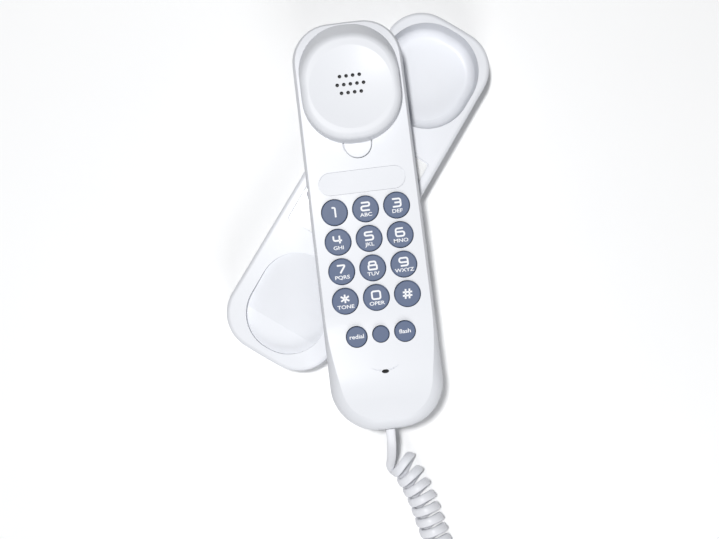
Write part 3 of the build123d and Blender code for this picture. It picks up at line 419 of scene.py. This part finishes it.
def even_points(points, count):
    """The same line with evenly spaced points."""
    lengths = [0.0]
    for before, after in zip(points, points[1:]):
        lengths.append(lengths[-1] + (after - before).length)
    result = []
    place = 0
    for index in range(count):
        target = lengths[-1] * index / (count - 1)
        while place < len(lengths) - 2 and lengths[place + 1] < target:
            place += 1
        span = max(lengths[place + 1] - lengths[place], 1e-9)
        result.append(points[place].lerp(points[place + 1], (target - lengths[place]) / span))
    return result, lengths[-1]


def turning_rate(place):
    """Turns per metre at a distance along the curl's axis."""
    pitch = CURL_PITCH + (FIRST_PITCH - CURL_PITCH) * exp(-place / PITCH_FADE)
    return 1 / pitch


def lean_back(place, length):
    """How far a turn's far side leans back toward the tail, fading out before the last turns."""
    lean = LAST_LEAN + (FIRST_LEAN - LAST_LEAN) * exp(-place / LEAN_FADE)
    return lean * min(1, (length - place) / (3 * CURL_PITCH))


def curl_points(axis, start, finish):
    """A helix round the axis line that leaves from one point and ends beside another."""
    mean_radius = (CURL_DIAMETER - CORD_THICK) / 2
    _, length = even_points(axis, 2)
    up = Vector((0, 0, 1))
    first_side = (axis[1] - axis[0]).normalized().cross(up)
    last_side = (axis[-1] - axis[-2]).normalized().cross(up)
    first = start - axis[0]
    last = finish - axis[-1]
    first_angle = atan2(first.z, first.dot(first_side))
    last_angle = atan2(last.z, last.dot(last_side))
    count = int(length / CURL_PITCH * TURN_POINTS)
    step = length / (count - 1)
    turned = [0.0]
    for index in range(1, count):
        turned.append(turned[-1] + step * turning_rate((index - 0.5) * step))
    turns = round(turned[-1]) + (last_angle - first_angle) / (2 * pi)
    line, _ = even_points(axis, count)
    result = []
    for index, point in enumerate(line):
        along = (line[min(index + 1, count - 1)] - line[max(index - 1, 0)]).normalized()
        side = along.cross(up)
        angle = first_angle + 2 * pi * turns * turned[index] / turned[-1]
        lean = lean_back(index * step, length) * (cos(angle) - 1)
        result.append(point + mean_radius * (cos(angle) * side + sin(angle) * up) + lean * along)
    return result


def flat_section():
    """The oval section of the flat cable: width first, then thickness."""
    points = []
    for index in range(SECTION_POINTS):
        angle = 2 * pi * index / SECTION_POINTS
        wide = abs(cos(angle)) ** SECTION_WIDE_POWER * (1 if cos(angle) > 0 else -1)
        thick = abs(sin(angle)) ** SECTION_THICK_POWER * (1 if sin(angle) > 0 else -1)
        points.append((wide * CORD_WIDTH / 2, thick * CORD_THICK / 2))
    return points


def swept_mesh(name, path, outward, section, material):
    """A closed tube of one section along a path. outward gives the thin direction at each point."""
    points = []
    for index, point in enumerate(path):
        along = (path[min(index + 1, len(path) - 1)] - path[max(index - 1, 0)]).normalized()
        thin = (outward[index] - outward[index].dot(along) * along).normalized()
        wide = along.cross(thin)
        points += [point + wide * w + thin * t for w, t in section]
    ring = len(section)
    faces = [tuple(range(ring))[::-1]]
    for index in range(len(path) - 1):
        base = index * ring
        for step in range(ring):
            after = (step + 1) % ring
            faces.append((base + step, base + after, base + ring + after, base + ring + step))
    faces.append(tuple(range((len(path) - 1) * ring, len(path) * ring)))
    return mesh_piece(name, points, faces, material)


def carried(path, start):
    """Thin directions for a tail, carried along it from its end beside the curl."""
    result = [start]
    for before, after in zip(path, path[1:]):
        along = (after - before).normalized()
        direction = result[-1] - result[-1].dot(along) * along
        result.append(direction.normalized())
    return result


def tail_directions(path, last):
    """Thin directions for the handset tail: flat side up, then turning at the fold to meet the curl."""
    met = carried(path[::-1], last)[::-1]
    first = int(FOLD_START * (len(path) - 1))
    up = Vector((0, 0, 1 if met[first].z > 0 else -1))
    result = []
    for index, direction in enumerate(met):
        share = max(0, index - first) / (len(path) - 1 - first)
        result.append(up.lerp(direction, share))
    return result


def make_cord():
    tail = spline_points("handset_tail", HANDSET_TAIL_POINTS)
    axis = spline_points("curl_axis", CURL_POINTS)
    end = spline_points("plug_tail", PLUG_TAIL_POINTS)
    curl = curl_points(axis, tail[-1], end[0])
    line, _ = even_points(axis, len(curl))
    curl_out = [(point - centre).normalized() for point, centre in zip(curl, line)]
    tail_out = tail_directions(tail, curl_out[0])
    end_out = carried(end, curl_out[-1])
    path = tail[:-1] + curl + end[1:]
    outward = tail_out[:-1] + curl_out + end_out[1:]
    cord = swept_mesh("handset_cord", path, outward, flat_section(), MATERIALS["cord_white"])
    length = sum((after - before).length for before, after in zip(path, path[1:]))
    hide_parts("cord_tail_handset_end", "cord_curl", "cord_tail_base_end")
    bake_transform(cord)
    print("cord length", round(length, 3))


# ====================================================================== modular plugs
PLUG_WIDTH = 7.7 * MM
PLUG_LENGTH = 11.6 * MM
PLUG_HEIGHT = 6.6 * MM
LATCH_WIDTH = 3.2 * MM
BLADE_WIDTH = 0.4 * MM
BLADE_PLACES = (-1.905 * MM, -0.635 * MM, 0.635 * MM, 1.905 * MM)
# Side views in mm, from the end where the cord enters (0) to the nose, and upward.
PLUG_BODY_SIDE = (
    (0, 0.4),
    (0.4, 0),
    (8.0, 0),
    (8.0, 0.5),
    (11.2, 0.5),
    (11.6, 0.9),
    (11.6, 4.5),
    (11.2, 4.9),
    (2.8, 4.9),
    (2.2, 4.3),
    (0, 4.3),
)
LATCH_SIDE = ((10.2, 4.8), (1.0, 5.9), (1.0, 6.55), (5.2, 6.15), (5.2, 6.55), (11.2, 5.1), (11.2, 4.8))
BLADE_SIDE = ((8.2, 0.05), (10.9, 0.05), (11.1, 0.3), (11.1, 1.4), (8.2, 1.4))


def prisms(name, node, along, parts, material):
    """Closed prisms in one mesh. Each part is a side view, the place of its middle and its width."""
    up = Vector((0, 0, 1))
    right = along.cross(up)
    rear = middle(node) - along * PLUG_LENGTH / 2 - up * PLUG_HEIGHT / 2
    points = []
    faces = []
    for side, place, width in parts:
        first = len(points)
        count = len(side)
        for x in (place - width / 2, place + width / 2):
            points += [rear + x * right + y * MM * along + z * MM * up for y, z in side]
        faces.append([first + index for index in range(count)])
        faces.append([first + count + index for index in reversed(range(count))])
        for index in range(count):
            after = (index + 1) % count
            faces.append([first + after, first + index, first + count + index, first + count + after])
    return mesh_piece(name, points, faces, material, smooth=False)


def make_plug(name, node, body, along):
    """A clear modular plug with its latch and four gold blades, in place of the plug's plain solid."""
    shell_parts = [(PLUG_BODY_SIDE, 0, PLUG_WIDTH), (LATCH_SIDE, 0, LATCH_WIDTH)]
    shell = prisms(name, node, along, shell_parts, MATERIALS["clear_plug"])
    blade_parts = [(BLADE_SIDE, place, BLADE_WIDTH) for place in BLADE_PLACES]
    blades = prisms(name + "_blades", node, along, blade_parts, MATERIALS["contact_gold"])
    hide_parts(node)
    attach(shell, body)
    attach(blades, body)


# ====================================================================== key legends
HANDSET_UP = Vector(JOINTS["ringer_slide"]["axis"]).normalized()
HANDSET_RIGHT = HANDSET_UP.cross(Vector((0, 0, 1)))
DIGIT_SIZE = (5.3 * MM, 5.0 * MM)
DIGIT_STROKE = 1.0 * MM
OTHER_SIZES = {"1": (3.4 * MM, 6.0 * MM), "hash": (6.0 * MM, 6.0 * MM), "star": (5.6 * MM, 5.4 * MM)}
CORNER_RADIUS = 1.1 * MM
DIGIT_RISE = 1.25 * MM
LETTER_SIZE = 2.6 * MM
LETTER_STRETCH = 1.25
LETTER_DROP = 3.05 * MM
WORD_SIZE = 3.0 * MM
WORD_STRETCH = 1.15
PRINT_THICK = 0.06 * MM
PRINT_SWELL = 0.045 * MM  # letters are thickened by this
CORNER_STEPS = 6
# Strokes of each digit in a square from -1 to 1. Corners are rounded when they are drawn.
DIGIT_STROKES = {
    "1": (((-1, 1), (0.35, 1), (0.35, -1)),),
    "2": (((-0.95, 1), (1, 1), (1, 0.08), (-1, 0.08), (-1, -1), (1, -1)),),
    "3": (((-0.95, 1), (1, 1), (1, -1), (-0.95, -1)), ((-0.45, 0.05), (1, 0.05))),
    "4": (((-1, 1), (-1, -0.25), (1, -0.25)), ((0.45, 1), (0.45, -1))),
    "5": (((0.95, 1), (-0.95, 1), (-0.95, 0.12), (1, 0.12), (1, -1), (-1, -1)),),
    "6": (((0.8, 1), (-1, 1), (-1, -1), (1, -1), (1, 0.12), (-0.95, 0.12)),),
    "7": (((-1, 1), (1, 1), (-0.35, -1)),),
    "8": (
        ((-0.8, 0.08), (-0.8, 1), (0.8, 1), (0.8, 0.08)),
        ((-1, -0.4), (-1, 0.08), (1, 0.08), (1, -0.4)),
        ((-1, -0.4), (-1, -1), (1, -1), (1, -0.4)),
    ),
    "9": (((-0.8, -1), (1, -1), (1, 1), (-1, 1), (-1, -0.12), (0.95, -0.12)),),
    "0": (((0, 1), (-1, 1), (-1, -1), (1, -1), (1, 1), (0, 1)),),
    "star": (
        ((0, 1), (0, -1)),
        ((-0.92, 0.55), (0.92, -0.55)),
        ((-0.92, -0.55), (0.92, 0.55)),
    ),
    "hash": (
        ((-0.3, 1), (-0.5, -1)),
        ((0.5, 1), (0.3, -1)),
        ((-0.95, 0.36), (1, 0.36)),
        ((-1, -0.36), (0.95, -0.36)),
    ),
}
KEY_LETTERS = {
    "2": "ABC",
    "3": "DEF",
    "4": "GHI",
    "5": "JKL",
    "6": "MNO",
    "7": "PQRS",
    "8": "TUV",
    "9": "WXYZ",
    "star": "TONE",
    "0": "OPER",
}


def rounded_stroke(points, radius):
    """A stroke's points with each inner corner replaced by a short arc."""
    result = [Vector(points[0])]
    for before, here, after in zip(points, points[1:], points[2:]):
        corner = Vector(here)
        back = Vector(before) - corner
        ahead = Vector(after) - corner
        reach = min(radius, back.length * 0.49, ahead.length * 0.49)
        start = corner + back.normalized() * reach
        finish = corner + ahead.normalized() * reach
        for step in range(CORNER_STEPS + 1):
            share = step / CORNER_STEPS
            middle_share = 2 * share * (1 - share)
            result.append((1 - share) ** 2 * start + middle_share * corner + share**2 * finish)
    result.append(Vector(points[-1]))
    return result


def laid_mesh(holder):
    """The mesh of a curve or text object, which is then removed."""
    mesh = bpy.data.meshes.new_from_object(holder)
    bpy.data.objects.remove(holder)
    mesh.materials.clear()
    return mesh


def draw_digit(label, place):
    """A digit in round strokes, pressed flat so that it lies on the key like a print."""
    width, height = OTHER_SIZES.get(label, DIGIT_SIZE)
    data = bpy.data.curves.new("digit", "CURVE")
    data.dimensions = "3D"
    data.bevel_depth = DIGIT_STROKE / 2
    data.bevel_resolution = 3
    data.use_fill_caps = True
    for stroke in DIGIT_STROKES[label]:
        scaled = [(x * (width - DIGIT_STROKE) / 2, y * (height - DIGIT_STROKE) / 2) for x, y in stroke]
        points = rounded_stroke(scaled, CORNER_RADIUS)
        spline = data.splines.new("POLY")
        spline.points.add(len(points) - 1)
        for target, point in zip(spline.points, points):
            target.co = (point.x, point.y, 0, 1)
    mesh = laid_mesh(link("digit", data))
    for vertex in mesh.vertices:
        flat = vertex.co.copy()
        height = max(flat.z, 0) * PRINT_THICK * 2 / DIGIT_STROKE - PRINT_THICK / 4
        vertex.co = place + flat.x * HANDSET_RIGHT + flat.y * HANDSET_UP + Vector((0, 0, height))
    return link("legend_" + label, mesh, MATERIALS["legend_white"])


def draw_text(name, words, size, stretch, place):
    data = bpy.data.curves.new("words", "FONT")
    data.body = words
    data.size = size
    data.align_x = "CENTER"
    data.align_y = "CENTER"
    data.extrude = PRINT_THICK / 2
    data.offset = PRINT_SWELL
    data.resolution_u = 4
    mesh = laid_mesh(link("words", data))
    for vertex in mesh.vertices:
        flat = vertex.co.copy()
        vertex.co = place + flat.x * stretch * HANDSET_RIGHT + flat.y * HANDSET_UP
        vertex.co.z += flat.z
    return link(name, mesh, MATERIALS["legend_white"])


def key_top(label):
    low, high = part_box("key_" + label)
    place = middle("key_" + label)
    place.z = high[2]
    return place


def make_legends():
    for label in DIGIT_STROKES:
        place = key_top(label)
        rise = DIGIT_RISE if label in KEY_LETTERS else 0
        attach(draw_digit(label, place + rise * HANDSET_UP), "key_" + label + "_body")
    for label, words in KEY_LETTERS.items():
        place = key_top(label) - LETTER_DROP * HANDSET_UP
        print_piece = draw_text("letters_" + label, words, LETTER_SIZE, LETTER_STRETCH, place)
        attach(print_piece, "key_" + label + "_body")
    for label in ("redial", "flash"):
        print_piece = draw_text("letters_" + label, label, WORD_SIZE, WORD_STRETCH, key_top(label))
        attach(print_piece, "key_" + label + "_body")


# ====================================================================== build
make_camera()
make_floor()
make_lights()
make_plug("plug_handset", "cord_plug_handset_end", "handset", HANDSET_UP)
plug_run = Vector(PLUG_TAIL_POINTS[-1]) - Vector(PLUG_TAIL_POINTS[-2])
plug_heading = Vector((plug_run.x, plug_run.y, 0)).normalized()
make_plug("plug_free", "cord_plug_base_end", "base", plug_heading)
make_cord()
dress_cad_nodes()
make_legends()
